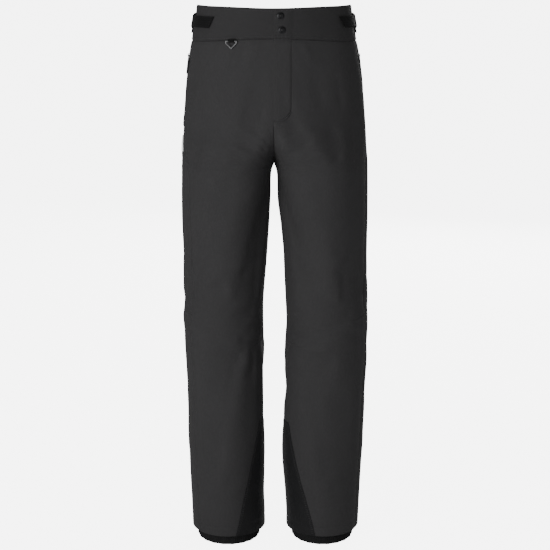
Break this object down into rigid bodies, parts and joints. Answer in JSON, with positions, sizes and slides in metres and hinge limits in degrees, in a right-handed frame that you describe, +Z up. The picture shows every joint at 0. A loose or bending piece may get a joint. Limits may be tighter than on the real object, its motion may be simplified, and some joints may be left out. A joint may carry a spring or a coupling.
{
  "type": "ski pants",
  "caption": "Black insulated ski trousers with a zip fly under a snapped flap, waist adjuster tabs, hand pockets, articulated knees, scuff guards and inner snow gaiters.",
  "frame": {"origin": "middle of the garment's box at the lower edge of the two inner gaiters", "axes": "+X to the wearer's left, -Y the front of the garment, +Z up from the hems to the waist"},
  "size_m": [0.3842, 0.2554, 1.12],
  "materials": {
    "elastic": "elastic band, matte",
    "gunmetal": "satin gunmetal",
    "lining": "smooth grey taffeta",
    "print": "plain white patch",
    "puller": "moulded soft pull",
    "scuff": "tough black ripstop",
    "shell": "matte twill shell, charcoal black",
    "trim": "black woven trim",
    "wire": "satin steel wire",
    "zip_plastic": "moulded black zip"
  },
  "bodies": {
    "trunk": {"right_front_hip": "shell", "left_front_hip": "shell", "right_back_hip": "shell", "left_back_hip": "shell", "waistband_front_right": "shell", "waistband_front_left": "shell", "waistband_back": "shell", "waistband_underlap": "shell", "waistband_facing": "lining", "seat_lining": "lining", "pocket_bags": "lining", "hanger_loop": "trim", "side_patch": "print", "fly_underlap": "lining", "fly_zip_tapes": "zip_plastic", "fly_zip_teeth": "zip_plastic", "snap_studs": "gunmetal", "d_ring_tab": "trim", "loop_patches": "trim", "strap_keepers": "trim", "right_pocket_zip": "zip_plastic", "left_pocket_zip": "zip_plastic"},
    "fly_zip_slider": {"fly_zip_slider": "gunmetal"},
    "fly_flap": {"fly_flap": "shell", "waistband_overlap": "shell", "snap_caps": "gunmetal"},
    "d_ring": {"d_ring": "wire"},
    "right_strap": {"right_strap": "trim"},
    "right_tab": {"right_tab": "trim", "right_hook_patch": "trim"},
    "right_pocket_slider": {"right_pocket_slider": "gunmetal"},
    "right_pocket_puller": {"right_pocket_puller": "puller"},
    "right_thigh": {"right_hip_sleeve": "shell", "right_thigh_front": "shell", "right_thigh_back": "shell", "right_thigh_lining": "lining", "right_knee_sleeve": "shell"},
    "right_shin": {"right_shin_front": "shell", "right_shin_back": "shell", "right_shin_lining": "lining", "right_scuff_guard": "scuff", "right_gaiter": "trim", "right_gaiter_elastic": "elastic"},
    "left_strap": {"left_strap": "trim"},
    "left_tab": {"left_tab": "trim", "left_hook_patch": "trim"},
    "left_pocket_slider": {"left_pocket_slider": "gunmetal"},
    "left_pocket_puller": {"left_pocket_puller": "puller"},
    "left_thigh": {"left_hip_sleeve": "shell", "left_thigh_front": "shell", "left_thigh_back": "shell", "left_thigh_lining": "lining", "left_knee_sleeve": "shell"},
    "left_shin": {"left_shin_front": "shell", "left_shin_back": "shell", "left_shin_lining": "lining", "left_scuff_guard": "scuff", "left_gaiter": "trim", "left_gaiter_elastic": "elastic"}
  },
  "joints": [
    {"name": "fly_flap_hinge", "type": "hinge", "parent": "trunk", "child": "fly_flap", "pos_m": [0.0375, -0.1183, 0.99], "axis": [0, 0.0599, 0.9982], "range_deg": [0, 95]},
    {"name": "fly_zip_slide", "type": "slide", "parent": "trunk", "child": "fly_zip_slider", "axis": [0, -0.0599, -0.9982], "range_m": [0, 0.1]},
    {"name": "d_ring_swing", "type": "hinge", "parent": "trunk", "child": "d_ring", "pos_m": [-0.0835, -0.10884, 1.056], "axis": [-1, 0, 0], "range_deg": [0, 140]},
    {"name": "right_strap_adjust", "type": "hinge", "parent": "trunk", "child": "right_strap", "pos_m": [-0.079, -0.012, 1.088], "axis": [0, 0, 1], "range_deg": [-14, 8]},
    {"name": "right_tab_peel", "type": "hinge", "parent": "right_strap", "child": "right_tab", "pos_m": [-0.15312, -0.04976, 1.088], "axis": [-0.1611, -0.0821, -0.9835], "range_deg": [0, 100]},
    {"name": "right_pocket_zip_slide", "type": "slide", "parent": "trunk", "child": "right_pocket_slider", "axis": [-0.1192, 0.0757, -0.99], "range_m": [0, 0.125]},
    {"name": "right_pocket_puller_swing", "type": "hinge", "parent": "right_pocket_slider", "child": "right_pocket_puller", "pos_m": [-0.17004, -0.02715, 1.0235], "axis": [-0.128, 0.9876, 0.0909], "range_deg": [0, 110]},
    {"name": "right_hip", "type": "hinge", "parent": "trunk", "child": "right_thigh", "pos_m": [-0.098, -0.001, 0.745], "axis": [-1, 0, 0], "range_deg": [0, 40], "deforming": ["right_hip_sleeve"]},
    {"name": "right_knee", "type": "hinge", "parent": "right_thigh", "child": "right_shin", "pos_m": [-0.108, -0.013, 0.47], "axis": [1, 0, 0], "range_deg": [0, 60], "deforming": ["right_knee_sleeve"]},
    {"name": "left_strap_adjust", "type": "hinge", "parent": "trunk", "child": "left_strap", "pos_m": [0.079, -0.012, 1.088], "axis": [0, 0, -1], "range_deg": [-14, 8]},
    {"name": "left_tab_peel", "type": "hinge", "parent": "left_strap", "child": "left_tab", "pos_m": [0.15312, -0.04976, 1.088], "axis": [-0.1611, 0.0821, 0.9835], "range_deg": [0, 100]},
    {"name": "left_pocket_zip_slide", "type": "slide", "parent": "trunk", "child": "left_pocket_slider", "axis": [0.1192, 0.0757, -0.99], "range_m": [0, 0.125]},
    {"name": "left_pocket_puller_swing", "type": "hinge", "parent": "left_pocket_slider", "child": "left_pocket_puller", "pos_m": [0.17004, -0.02715, 1.0235], "axis": [-0.128, -0.9876, -0.0909], "range_deg": [0, 110]},
    {"name": "left_hip", "type": "hinge", "parent": "trunk", "child": "left_thigh", "pos_m": [0.098, -0.001, 0.745], "axis": [-1, 0, 0], "range_deg": [0, 40], "deforming": ["left_hip_sleeve"]},
    {"name": "left_knee", "type": "hinge", "parent": "left_thigh", "child": "left_shin", "pos_m": [0.108, -0.013, 0.47], "axis": [1, 0, 0], "range_deg": [0, 60], "deforming": ["left_knee_sleeve"]}
  ]
}
